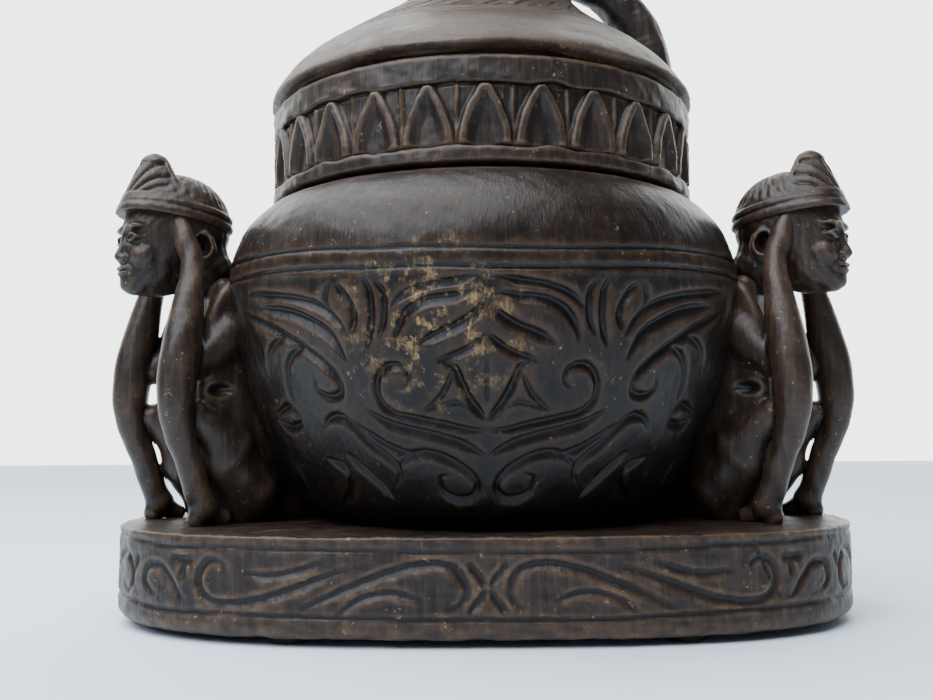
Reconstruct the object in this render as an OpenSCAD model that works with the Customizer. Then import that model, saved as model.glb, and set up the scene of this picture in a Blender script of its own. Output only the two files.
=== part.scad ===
// Carved hardwood jar with a lift-off lid.
// A round bulbous bowl and its arched collar stand on an oblong plinth between
// two crouching figures, and a domed lid with a knob and a side handle closes it.
// The origin is on the ground under the middle of the plinth; +X is to the
// right of the front, -Y is the front and +Z is up.

/* [Plinth] */
// How far the plinth reaches past the middle of each figure, along X
plinth_end = 23.3; // [18:0.1:60]
// Depth of the plinth, along Y
plinth_depth = 180; // [170:1:230]
// Thickness of the plinth
plinth_h = 36; // [20:1:60]
// Squareness of the plinth's outline: 2 is an ellipse, more is squarer
plinth_power = 2.7; // [2.2:0.1:4]
// Diameter of a foot pad
pad_d = 15; // [8:1:30]
// Height of a foot pad
pad_h = 2.5; // [1:0.5:8]
// How far a foot pad's middle lies inside the plinth's edge, front and back
pad_inset = 20; // [10:1:35]
// Distance from the middle to the foot pads, along X
pad_x = 71; // [40:1:90]

/* [Bowl] */
// Largest outer radius of the bowl
bowl_r = 109; // [90:0.1:131]
// Height of the bowl, from the plinth up to the collar
bowl_h = 131.5; // [109:0.1:160]
// Radius of the bowl's foot, on the plinth
foot_r = 64; // [45:0.1:75]
// Thickness of the bowl's wall
bowl_wall = 13; // [6:0.5:18]
// Thickness of the bowl's floor
bowl_floor = 14; // [6:1:30]

/* [Collar] */
// Outer radius of the collar
collar_r = 91; // [84:0.5:94]
// Radius of the mouth
mouth_r = 78; // [60:0.1:80]
// Height of the collar's lower lip
lip_h = 6; // [3:0.5:10]
// Height of the frieze of arches
frieze_h = 23; // [15:0.5:35]
// Height of the plain band above the frieze
band_h = 10.5; // [6:0.5:20]
// How deep the frieze is sunk behind the lip and the band
frieze_depth = 3; // [1:0.1:4]
// Depth of the shadow groove under the collar
undercut = 5; // [2:0.5:6]

/* [Lid] */
// How far the lid's rim stands out past the collar
rim_out = 1; // [0:0.5:4]
// Height of the dome, from the collar up to the knob
dome_h = 58; // [48:0.1:75]
// How deep the lid's spigot reaches into the mouth
spigot_h = 9; // [5:0.1:15]
// Clearance round the spigot
spigot_gap = 0.6; // [0.3:0.1:0.8]
// Height at which the lid rides over the collar when it is closed
seat_gap = 0.3; // [0.3:0.1:0.6]
// Half length of the knob's base, along X
knob_x = 31; // [20:1:34]
// Half depth of the knob's base, along Y
knob_y = 16; // [10:1:20]
// Height of the knob
knob_h = 36; // [30:0.1:50]
// Radius of the handle's arc
handle_arc_r = 62; // [55:0.1:75]
// Radius of the handle itself, at its middle
handle_r = 9.5; // [6:0.1:12]

/* [Figures] */
// How far a figure's middle stands out past the bowl's widest part, along X
figure_out = 17.7; // [12:0.1:21]
// How far a figure's middle lies toward the front
figure_front = 23; // [0:1:40]
// How far a figure is turned from the plinth's length toward the front
figure_turn = 38; // [0:1:60]
// Half distance between a figure's two hands, and its two feet
limb_spread = 22; // [18:0.1:27]
// Half width of the torso
torso_half = 14; // [11:0.1:17]
// Half width of the head
head_half = 16.5; // [13:0.1:18]

/* [Hidden] */

dark_wood = "#3b2f28";
worn_wood = "#5a493c";
dusty_wood = "#6e6257";
pad_brown = "#2a2320";

$fn = 96;
join_gap = 0.2; // a figure's back follows the bowl this far away
limb_fn = 18;
big = 400;

nape_z = 97; // height at which the head rests on the torso
chin_z = 92;
band_z = 123; // height of the headband's lower edge over the face's middle
band_tilt = 7; // the headband slopes down toward the back
torso_back = 58; // how far the torso reaches back, to the bowl's foot
hip_z = 34;
waist_z = 60;
cheek_z = 90; // above it the hands stay outside the head's sides

figure_x = bowl_r + figure_out;
plinth_len = 2 * (figure_x + plinth_end);
deck_z = pad_h + plinth_h;
collar_z = deck_z + bowl_h;
collar_h = lip_h + frieze_h + band_h;
lid_z = collar_z + collar_h + seat_gap;
rim_r = collar_r + rim_out;
spigot_r = mouth_r - spigot_gap;
knob_base_z = lid_z + dome_h;
knob_shift = 10; // the knob stands off the lid's middle, toward the handle
handle_shift = 12; // the handle lies behind the lid's middle plane
plinth_sides = 96;

// ---- outlines ----

// Point of a superellipse with half axes a and b at the angle t
function superellipse(a, b, power, t) = [
    a * sign(cos(t)) * pow(abs(cos(t)), 2 / power),
    b * sign(sin(t)) * pow(abs(sin(t)), 2 / power),
];

// Outer half profile of the bowl as shares of its largest radius and height,
// from the foot to the shoulder under the collar
bowl_shares = [
    [0.70, 0.055], [0.79, 0.15], [0.875, 0.29], [0.94, 0.43], [0.98, 0.57],
    [0.998, 0.69], [1, 0.75], [0.99, 0.81], [0.955, 0.885], [0.9, 0.945],
];
neck_r = collar_r - undercut;
shoulder_end = [collar_r + 1.5, bowl_h - 2.5];

function bowl_outline(grow) = concat(
    [[foot_r + grow, 0]],
    [for (p = bowl_shares) [p[0] * bowl_r + grow, p[1] * bowl_h]],
    [
        [shoulder_end[0] + grow, shoulder_end[1]],
        [neck_r + 1 + grow, bowl_h - 1.2],
        [neck_r + grow, bowl_h],
    ]
);

// Inner half profile: the wall follows the outside and closes in to the mouth
function cavity_outline() = concat(
    [[0, bowl_floor], [foot_r - 6, bowl_floor]],
    [for (p = bowl_shares)
        if (p[1] * bowl_h > bowl_floor + 4 && p[1] < 0.9)
            [p[0] * bowl_r - bowl_wall, p[1] * bowl_h]],
    [[mouth_r, bowl_h - 8], [mouth_r, bowl_h + 1], [0, bowl_h + 1]]
);

// ---- plinth and pads ----

module plinth() {
    color(worn_wood)
    translate([0, 0, pad_h])
    linear_extrude(plinth_h)
    polygon([for (i = [0:plinth_sides - 1])
        superellipse(plinth_len / 2, plinth_depth / 2, plinth_power, i * 360 / plinth_sides)]);
}

// side is -1 for left and 1 for right, face is -1 for front and 1 for back
module pad(side, face) {
    color(pad_brown)
    translate([side * pad_x, face * (plinth_depth / 2 - pad_inset), 0])
    cylinder(d = pad_d, h = pad_h);
}

// ---- bowl and collar ----

module bowl() {
    color(dark_wood)
    translate([0, 0, deck_z])
    rotate_extrude()
    difference() {
        polygon(concat([[0, 0]], bowl_outline(0), [[0, bowl_h]]));
        polygon(cavity_outline());
    }
}

module collar() {
    frieze_r = collar_r - frieze_depth;
    color(worn_wood)
    translate([0, 0, collar_z])
    rotate_extrude()
    polygon([
        [mouth_r, 0], [collar_r, 0], [collar_r, lip_h], [frieze_r, lip_h],
        [frieze_r, lip_h + frieze_h], [collar_r, lip_h + frieze_h],
        [collar_r, collar_h], [mouth_r, collar_h],
    ]);
}

// ---- figures ----

// Places a figure's own frame: its +X looks out from the jar, its +Y is toward
// the front of the jar and its floor is the plinth's top
module figure_place(side) {
    mirror([side > 0 ? 1 : 0, 0, 0])
    translate([-figure_x, -figure_front, deck_z])
    rotate([0, 0, 180 + figure_turn])
    children();
}

// The bowl and the collar a little enlarged, which a figure's back is cut to
module bowl_clearance() {
    guard_r = collar_r + join_gap;
    translate([0, 0, deck_z])
    rotate_extrude()
    polygon(concat(
        [[0, -1], [foot_r + join_gap, -1]],
        bowl_outline(join_gap),
        [[guard_r, bowl_h], [guard_r, bowl_h + collar_h], [0, bowl_h + collar_h]]
    ));
}

module against_bowl() {
    difference() {
        children();
        bowl_clearance();
    }
}

module ball(p, r) {
    translate(p) sphere(r, $fn = limb_fn);
}

// Points of a limb in the figure's frame: how far out, how much further to the
// side than limb_spread, height and radius
hand = [2, -2, 109, 3.6];
wrist = [3.5, 0.5, 92, 5.2];
elbow = [10.3, 3, 64, 7.6];
knee = [10.8, 3, 46, 8];
ankle = [-2.7, 1.2, 8, 5.6];
toe = [1, 1.2, 3, 4.5];
heel = [-12.5, 1.2, 2.5, 4.5];
upper_arm = [6, -2, 59, 7];
shoulder = [-20, -6, 80, 12];
thigh = [5, -2, 46, 8];
hip = [-18, -6, 20, 15.5];

module joint(p) {
    ball([p[0], limb_spread + p[1], p[2]], p[3]);
}

module link(p, q) {
    hull() {
        joint(p);
        joint(q);
    }
}

// Arm and leg of one side: the elbow rests on the knee, the hand lies under the
// ear, and the upper arm and the thigh run back to the torso.
// face is 1 for the limb toward the front and -1 for the one toward the back
module limb(face) {
    mirror([0, face > 0 ? 0 : 1, 0])
    intersection() {
        union() {
            link(hand, wrist);
            link(wrist, elbow);
            link(elbow, knee);
            link(knee, ankle);
            hull() {
                joint(ankle);
                joint(toe);
                joint(heel);
            }
            link(upper_arm, shoulder);
            link(thigh, hip);
        }
        translate([-big / 2, torso_half, 0]) cube([big, big, big]);
        union() {
            translate([-big / 2, 0, 0]) cube([big, big, cheek_z]);
            translate([-big / 2, head_half, 0]) cube([big, big, big]);
        }
    }
}

// A slab of the torso from the height z0 up to z1, as far out as reach
module torso_slab(reach, z0, z1) {
    translate([-torso_back, -torso_half, z0])
    cube([torso_back + reach, 2 * torso_half, z1 - z0]);
}

// Back, chest and hips between the two limbs: widest at the hips and the chest
module torso() {
    hull() {
        torso_slab(-12, 0, hip_z);
        torso_slab(-15, 0, waist_z);
    }
    hull() {
        torso_slab(-16, 0, waist_z);
        torso_slab(-8, 0, nape_z);
    }
}

// Everything above the headband's lower edge, in the figure's frame
module above_band() {
    translate([0, 0, band_z])
    rotate([0, -band_tilt, 0])
    translate([-big / 2, -big / 2, 0])
    cube([big, big, big]);
}

// A ball stretched to the half axes size
module egg(at, size, fn) {
    translate(at) scale(size) sphere(1, $fn = fn);
}

// Crown, brow, chin and nape
module skull() {
    h = head_half;
    hull() {
        egg([-1.5, 0, 122], [22.5, h, 20], 32);
        egg([18.5, 0, 120], [7, h - 4, 8], 20);
        egg([17, 0, chin_z + 6.5], [8, h - 7, 6.5], 20);
        egg([-10, 0, 104], [17, h - 2, 10], 24);
    }
}

module head() {
    difference() {
        skull();
        above_band();
        // the nape rests on the torso
        translate([-big - 7.8, -big / 2, 0]) cube([big, big, nape_z]);
    }
}

module cap() {
    h = head_half + 1.5;
    intersection() {
        union() {
            hull() {
                egg([0.5, 0, 124], [24, h, 19.5], 36);
                egg([19.5, 0, 126], [7, h - 4, 5], 20);
            }
            // the crest over the brow
            hull() {
                egg([13.5, 0, 147.2], [4, 4, 4], 20);
                egg([20.5, 0, 129], [5, 11, 4], 20);
                egg([2, 0, 138], [6, 9, 4], 20);
            }
        }
        above_band();
    }
}

module figure_part(side, part) {
    color(part == "torso" ? dark_wood : worn_wood)
    against_bowl()
    figure_place(side) {
        if (part == "torso") torso();
        if (part == "limb_front") limb(1);
        if (part == "limb_back") limb(-1);
        if (part == "head") head();
        if (part == "cap") cap();
    }
}

// ---- lid ----

// Rows of the dome: height share, shift along X, half length and half depth as
// shares of the rim radius. It tapers faster from front to back than sideways.
dome_rows = [
    [0.000, 0, 0.92, 0.92], [0.035, 0, 0.985, 0.985], [0.075, 0, 1, 1],
    [0.16, 0, 0.975, 0.955], [0.31, 0, 0.92, 0.82], [0.48, 0, 0.835, 0.635],
    [0.65, 0, 0.715, 0.45], [0.80, 0.5, 0.58, 0.31], [0.91, 2, 0.475, 0.24],
    [1.00, 4, 0.40, 0.205],
];

module dome_body() {
    translate([0, 0, lid_z])
    hull()
    for (row = dome_rows)
        translate([row[1], 0, row[0] * (dome_h - 0.1)])
        linear_extrude(0.1)
        scale([row[2] * rim_r, row[3] * rim_r])
        circle(1, $fn = 72);
}

module lid_dome() {
    color(dusty_wood) dome_body();
}

module lid_spigot() {
    color(dark_wood)
    translate([0, 0, lid_z - spigot_h])
    cylinder(r = spigot_r, h = spigot_h);
}

// Rows of the knob: height share and size share
knob_rows = [[0, 1], [0.2, 1.02], [0.45, 1.13], [0.7, 1.08], [0.9, 0.8], [1, 0.45]];

module knob_disc(row) {
    translate([knob_shift, 0, knob_base_z + row[0] * (knob_h - 0.1)])
    linear_extrude(0.1)
    scale([row[1] * knob_x, row[1] * knob_y])
    circle(1, $fn = 48);
}

module knob_body() {
    for (i = [0:len(knob_rows) - 2])
        hull() {
            knob_disc(knob_rows[i]);
            knob_disc(knob_rows[i + 1]);
        }
}

module lid_knob() {
    color(worn_wood) knob_body();
}

// The handle's arc starts inside the dome's shoulder and ends inside the knob,
// and is cut off at their faces. Its outermost point lies 10 mm inside the rim.
handle_top = 78; // degrees above the level of the arc's centre, at the knob
handle_x = rim_r - 10 - handle_arc_r;
handle_z = knob_base_z + 0.59 * knob_h - handle_arc_r * sin(handle_top);
handle_root = asin((handle_z - lid_z - 6) / handle_arc_r);

module lid_handle() {
    color(worn_wood)
    difference() {
        translate([handle_x, handle_shift, handle_z])
        rotate([90, handle_root, 0])
        rotate_extrude(angle = handle_top + handle_root)
        translate([handle_arc_r, 0])
        circle(handle_r, $fn = 32);
        dome_body();
        knob_body();
    }
}

// ---- nodes ----

plinth();
pad(-1, -1);  // pad_front_left
pad(1, -1);  // pad_front_right
pad(-1, 1);  // pad_back_left
pad(1, 1);  // pad_back_right
bowl();
collar();
figure_part(-1, "torso");  // left_torso
figure_part(-1, "limb_front");  // left_limb_front
figure_part(-1, "limb_back");  // left_limb_back
figure_part(-1, "head");  // left_head
figure_part(-1, "cap");  // left_cap
figure_part(1, "torso");  // right_torso
figure_part(1, "limb_front");  // right_limb_front
figure_part(1, "limb_back");  // right_limb_back
figure_part(1, "head");  // right_head
figure_part(1, "cap");  // right_cap
lid_dome();
lid_spigot();
lid_knob();
lid_handle();
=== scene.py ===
# %% [markdown]
# # A carved hardwood jar with a lift-off lid
#
# The imported CAD model is the frame of this scene. Each of its pieces but the
# pads and the lid's spigot is carved again here, with the relief, the tool marks
# and the worn finish of old dark wood, and every carved piece rides on the body it belongs to.

# %% The frame
import math

import bpy
import numpy as np
from mathutils import Matrix, Vector


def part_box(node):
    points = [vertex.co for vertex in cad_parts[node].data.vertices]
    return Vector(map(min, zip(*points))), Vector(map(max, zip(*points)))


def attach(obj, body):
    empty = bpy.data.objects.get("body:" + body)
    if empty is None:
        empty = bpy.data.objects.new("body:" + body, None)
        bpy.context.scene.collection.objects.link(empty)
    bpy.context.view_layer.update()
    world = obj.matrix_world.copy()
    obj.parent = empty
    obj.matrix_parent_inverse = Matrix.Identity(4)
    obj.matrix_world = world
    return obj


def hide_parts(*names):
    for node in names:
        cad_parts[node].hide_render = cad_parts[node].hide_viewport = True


MM = 0.001

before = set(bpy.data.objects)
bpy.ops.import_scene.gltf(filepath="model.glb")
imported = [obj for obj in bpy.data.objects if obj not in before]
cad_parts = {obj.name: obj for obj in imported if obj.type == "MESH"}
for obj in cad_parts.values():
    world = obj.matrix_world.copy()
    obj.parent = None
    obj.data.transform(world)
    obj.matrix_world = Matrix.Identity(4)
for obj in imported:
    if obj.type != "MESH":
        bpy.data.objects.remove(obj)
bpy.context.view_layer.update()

# %% [markdown]
# ## The camera
#
# The jar is seen from close by and from low down, a little above its plinth,
# so the bowl looms over the plinth and the lid's top runs out of the view. A
# camera that stands 44 cm away and looks up a few degrees gives that.

# %% Camera
CAMERA_AT = Vector((-7.0, -437.5, 74.3)) * MM
CAMERA_LENS = 38.585
CAMERA_PITCH = math.radians(4.706)
CAMERA_ROLL = -0.0052


def add_camera():
    data = bpy.data.cameras.new("camera")
    data.sensor_width = 36.0
    data.lens = CAMERA_LENS
    data.clip_start = 0.01
    camera = bpy.data.objects.new("camera", data)
    turn = Matrix.Rotation(math.pi / 2 + CAMERA_PITCH, 4, "X")
    roll = Matrix.Rotation(CAMERA_ROLL, 4, "Z")
    camera.matrix_world = Matrix.Translation(CAMERA_AT) @ turn @ roll
    bpy.context.scene.collection.objects.link(camera)
    bpy.context.scene.camera = camera
    return camera


camera = add_camera()
print("camera at mm:", [round(v / MM, 1) for v in CAMERA_AT])

# %% [markdown]
# ## Sizes taken from the frame
#
# Everything is worked out in millimetres and turned to metres when a mesh is
# made. The places of the pieces come from the boxes of the CAD nodes.

# %% Sizes in millimetres
def node_box(name):
    low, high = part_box(name)
    return np.array(low) / MM, np.array(high) / MM


plinth_low, plinth_high = node_box("plinth")
bowl_low, bowl_high = node_box("bowl")
collar_low, collar_high = node_box("collar")
dome_low, dome_high = node_box("lid_dome")
knob_low, knob_high = node_box("lid_knob")

deck_z = plinth_high[2]
bowl_r = bowl_high[0]
bowl_h = bowl_high[2] - bowl_low[2]
collar_z = collar_low[2]
collar_r = collar_high[0]
lid_z = dome_low[2]
rim_r = dome_high[0]
dome_h = dome_high[2] - dome_low[2]
print(f"deck {deck_z:.1f}, bowl r {bowl_r:.1f} h {bowl_h:.1f}, collar r {collar_r:.1f}, lid at {lid_z:.1f}")

# %% [markdown]
# ## Meshes from rows of points
#
# Most of the jar was turned or shaped round an axis before it was carved, so
# most pieces start as rings of points, one above the other. A grid like that
# is easy to carve: each point is pushed in along the surface's own normal.

# %% Curves and grids
def curve(points, step):
    """A smooth curve through the points, with a sample about every step."""
    p = np.asarray(points, float)
    q = np.vstack([2 * p[0] - p[1], p, 2 * p[-1] - p[-2]])
    out = []
    for a, b, c, d in zip(q, q[1:], q[2:], q[3:]):
        n = max(2, int(np.ceil(np.linalg.norm(c - b) / step)))
        t = np.linspace(0, 1, n, endpoint=False)[:, None]
        cubic = (3 * b - a - 3 * c + d) * t**3
        out.append(0.5 * (2 * b + (c - a) * t + (2 * a - 5 * b + 4 * c - d) * t**2 + cubic))
    return np.vstack(out + [p[-1:]])


def straight(points, step):
    """A line through the points, with a sample about every step."""
    p = np.asarray(points, float)
    out = []
    for a, b in zip(p, p[1:]):
        n = max(1, int(np.ceil(np.linalg.norm(b - a) / step)))
        out.append(a + (b - a) * np.linspace(0, 1, n, endpoint=False)[:, None])
    return np.vstack(out + [p[-1:]])


def normals(grid):
    """Outward normals of a grid of rings (rows, columns, 3) whose rows go up."""
    around = np.roll(grid, -1, 1) - np.roll(grid, 1, 1)
    up = np.gradient(grid, axis=0)
    n = np.cross(around, up)
    return n / np.maximum(np.linalg.norm(n, axis=2, keepdims=True), 1e-9)


def smooth_noise(points, size, seed, octaves=2):
    """Soft random values from about -1 to 1 that change over size, for hand work."""
    rng = np.random.default_rng(seed)
    total = np.zeros(len(points))
    for octave in range(octaves):
        for _ in range(7):
            way = rng.normal(size=3)
            way *= 2 * math.pi / (size / 2**octave) / np.linalg.norm(way) * rng.uniform(0.5, 1.2)
            total += np.sin(points @ way + rng.uniform(0, 6.28)) / 2**octave * 0.38
    return total


# %% Meshes
def add_mesh(name, points_mm, faces):
    mesh = bpy.data.meshes.new(name)
    mesh.from_pydata((np.asarray(points_mm) * MM).tolist(), [], faces)
    mesh.polygons.foreach_set("use_smooth", np.ones(len(mesh.polygons), bool))
    mesh.update()
    obj = bpy.data.objects.new(name, mesh)
    bpy.context.scene.collection.objects.link(obj)
    return obj


def ring_faces(rows, columns):
    """Quads between rings of points that lie one above the other."""
    row = np.arange(rows - 1)[:, None] * columns
    here = np.arange(columns)[None, :]
    there = (here + 1) % columns
    quads = np.stack([row + here, row + there, row + columns + there, row + columns + here], -1)
    return quads.reshape(-1, 4).tolist()


def loft(name, grid, depth=None):
    """A closed piece from rings of points, with a fan at either end."""
    rows, columns, _ = grid.shape
    points = grid.reshape(-1, 3)
    low, high = grid[0].mean(0), grid[-1].mean(0)
    faces = ring_faces(rows, columns)
    last = rows * columns
    for c in range(columns):
        n = (c + 1) % columns
        faces.append([last, n, c])
        faces.append([last + 1, last - columns + c, last - columns + n])
    obj = add_mesh(name, np.vstack([points, low, high]), faces)
    if depth is not None:
        store(obj, "cut", np.append(depth.reshape(-1), [0, 0]))
    return obj


def store(obj, name, values):
    attribute = obj.data.attributes.new(name, "FLOAT", "POINT")
    attribute.data.foreach_set("value", np.asarray(values, np.float32))


def triangles(obj):
    return sum(len(p.vertices) - 2 for p in obj.data.polygons)


# %% [markdown]
# ## Carving
#
# A carver cuts the scrolls and leaves with a gouge: each cut is a tapering
# V groove, steep on its upper side and easier on its lower side. Here each cut
# is a smooth line on the unrolled surface, x across and z up in millimetres,
# with a width and a depth, and all cuts together give one map of depths.

# %% Gouge cuts
TAPER = 0.22  # share of a cut's length over which its ends run out
LEAN = 0.9  # how much wider a cut is on its lower side


def gouge(x, z, cuts):
    """Depth in mm of the cuts at the points (x, z). A cut is (points, width, depth)."""
    depth = np.zeros(x.shape)
    for points, width, deep in cuts:
        line = curve(points, 0.8)
        reach = width * (1 + LEAN)
        low, high = line.min(0) - reach, line.max(0) + reach
        near = np.nonzero((x > low[0]) & (x < high[0]) & (z > low[1]) & (z < high[1]))
        if len(near[0]) == 0:
            continue
        p = np.stack([x[near], z[near]], -1)[:, None, :]
        a, b = line[:-1], line[1:]
        run = b - a
        t = np.clip(((p - a) * run).sum(-1) / (run**2).sum(-1), 0, 1)
        away = p - (a + t[..., None] * run)
        distance = np.linalg.norm(away, axis=-1)
        below = np.clip(-away[..., 1] / np.maximum(distance, 1e-6), 0, 1)
        share = (np.arange(len(a)) + t) / len(a)
        thin = np.clip(np.minimum(share, 1 - share) / TAPER, 0.02, 1) ** 0.6
        ratio = distance / (width / 2 * thin * (1 + LEAN * below))
        best = ratio.argmin(1)
        rows = np.arange(len(best))
        ratio, thin = ratio[rows, best], thin[rows, best]
        cut = deep * thin * np.clip(1 - ratio**1.25, 0, 1)
        depth[near] = np.maximum(depth[near], cut)
    return depth


def mirrored(cuts):
    return cuts + [([(-x, z) for x, z in points], width, deep) for points, width, deep in cuts]


# %% [markdown]
# ## Level surfaces
#
# The figures are free shapes, so they are described as a carver thinks of
# them: lumps that flow into each other and cuts that are taken away. That is a
# distance field, and its zero level is turned into a mesh by placing one point
# in each small cube that the surface passes through.

# %% Surface of a distance field
CORNERS = [(i, j, k) for i in (0, 1) for j in (0, 1) for k in (0, 1)]
EDGES = [(a, b) for a in range(8) for b in range(a + 1, 8)
         if sum(abs(CORNERS[a][i] - CORNERS[b][i]) for i in range(3)) == 1]


def level_mesh(field, low, high, step):
    """Points and quads of the surface field(x, y, z) = 0; the field is negative inside."""
    low, high = np.asarray(low, float), np.asarray(high, float)
    n = np.ceil((high - low) / step).astype(int) + 1
    axes = [low[i] + step * np.arange(n[i]) for i in range(3)]
    f = field(*np.meshgrid(*axes, indexing="ij"))
    corner = [f[i : n[0] - 1 + i, j : n[1] - 1 + j, k : n[2] - 1 + k] for i, j, k in CORNERS]
    inside = sum((c < 0).astype(np.int8) for c in corner)
    cells = np.argwhere((inside > 0) & (inside < 8))
    index = np.full(n - 1, -1)
    index[tuple(cells.T)] = np.arange(len(cells))
    values = np.stack([c[tuple(cells.T)] for c in corner], 1)
    total, hits = np.zeros((len(cells), 3)), np.zeros(len(cells))
    for a, b in EDGES:
        fa, fb = values[:, a], values[:, b]
        cross = (fa < 0) != (fb < 0)
        t = np.where(cross, fa / np.where(cross, fa - fb, 1), 0)[:, None]
        ca, cb = np.array(CORNERS[a]), np.array(CORNERS[b])
        total += np.where(cross[:, None], ca + t * (cb - ca), 0)
        hits += cross
    points = low + step * (cells + total / hits[:, None])
    quads = []
    for axis in range(3):
        u, v = [(1, 2), (2, 0), (0, 1)][axis]
        first = [slice(1, n[i] - 1) for i in range(3)]
        first[axis] = slice(0, n[axis] - 1)
        second = list(first)
        second[axis] = slice(1, n[axis])
        fa, fb = f[tuple(first)], f[tuple(second)]
        for flip, mask in ((False, (fa < 0) & (fb >= 0)), (True, (fa >= 0) & (fb < 0))):
            at = np.argwhere(mask) + [0 if i == axis else 1 for i in range(3)]
            ring = []
            for du, dv in ((-1, -1), (0, -1), (0, 0), (-1, 0)):
                cell = at.copy()
                cell[:, u] += du
                cell[:, v] += dv
                ring.append(index[tuple(cell.T)])
            quads.append(np.stack(ring[::-1] if flip else ring, 1))
    return settle(points, field, step), np.vstack(quads)


def settle(points, field, step):
    """Moves the points onto the surface along the field's slope."""
    e = step * 0.25
    for _ in range(2):
        x, y, z = points.T
        here = field(x, y, z)
        moved = [field(x + e, y, z), field(x, y + e, z), field(x, y, z + e)]
        slope = np.stack([value - here for value in moved], 1) / e
        move = here[:, None] * slope / np.maximum((slope**2).sum(1, keepdims=True), 0.2)
        points = points - np.clip(move, -step, step)
    return points


# %% Lumps
def ball(x, y, z, at, size):
    """Distance to an egg with half axes size, near enough for carving."""
    p = [(x - at[0]) / size[0], (y - at[1]) / size[1], (z - at[2]) / size[2]]
    k = np.sqrt(p[0] ** 2 + p[1] ** 2 + p[2] ** 2)
    return (k - 1) * min(size) * np.clip(0.5 + 0.5 * k, 0.5, 1.6)


def limb(x, y, z, a, b):
    """Distance to a round limb from a to b, each (x, y, z, radius)."""
    ax, ay, az, ar = a
    bx, by, bz, br = b
    run = (bx - ax, by - ay, bz - az)
    t = ((x - ax) * run[0] + (y - ay) * run[1] + (z - az) * run[2]) / sum(v * v for v in run)
    t = np.clip(t, 0, 1)
    d = np.sqrt((x - ax - t * run[0]) ** 2 + (y - ay - t * run[1]) ** 2 + (z - az - t * run[2]) ** 2)
    return d - (ar + t * (br - ar))


def block(x, y, z, low, high, soft):
    """Distance to a box with edges rounded by soft."""
    q = [np.abs(v - (l + h) / 2) - (h - l) / 2 + soft for v, l, h in zip((x, y, z), low, high)]
    out = np.sqrt(sum(np.maximum(v, 0) ** 2 for v in q))
    return out + np.minimum(np.maximum(np.maximum(q[0], q[1]), q[2]), 0) - soft


def join(a, b, soft):
    """The two lumps together, with a fillet of about soft between them."""
    h = np.clip(0.5 + 0.5 * (b - a) / soft, 0, 1)
    return b + (a - b) * h - soft * h * (1 - h)


def meet(a, b, soft):
    """What lies in both lumps, with its edges rounded by about soft."""
    return -join(-a, -b, soft)


def take(a, b, soft):
    """The lump a with b taken away."""
    return meet(a, -b, soft)


# %% [markdown]
# ## Old hardwood
#
# The jar is a dense dark tropical hardwood, cut by hand and never varnished.
# Handling has rubbed the ridges to a warm brown, the cuts are nearly black,
# dust lies on what faces up, and the long pores run up and down.

# %% Materials: helpers
def linear(code):
    """An sRGB hex colour as linear red, green, blue, alpha."""
    channels = [int(code[i : i + 2], 16) / 255 for i in (1, 3, 5)]
    return tuple(c / 12.92 if c <= 0.04045 else ((c + 0.055) / 1.055) ** 2.4 for c in channels) + (1,)


def add_node(tree, kind, settings=None, **links):
    """Adds a node. A link is named in_NUMBER or by the input's name, and is an
    output to link or a value to set."""
    new = tree.nodes.new(kind)
    for key, value in (settings or {}).items():
        setattr(new, key, value)
    for key, value in links.items():
        socket = new.inputs[int(key[3:])] if key.startswith("in_") else new.inputs[key]
        if isinstance(value, bpy.types.NodeSocket):
            tree.links.new(value, socket)
        else:
            socket.default_value = value
    return new


def clear_tree(material):
    material.use_nodes = True
    material.node_tree.nodes.clear()
    return material.node_tree


# %% Materials: carved hardwood
FLECKS = 0.35  # strength of the small pale flecks
HOLLOWS = 0.82  # how dark the bottoms of the cuts are


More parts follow.
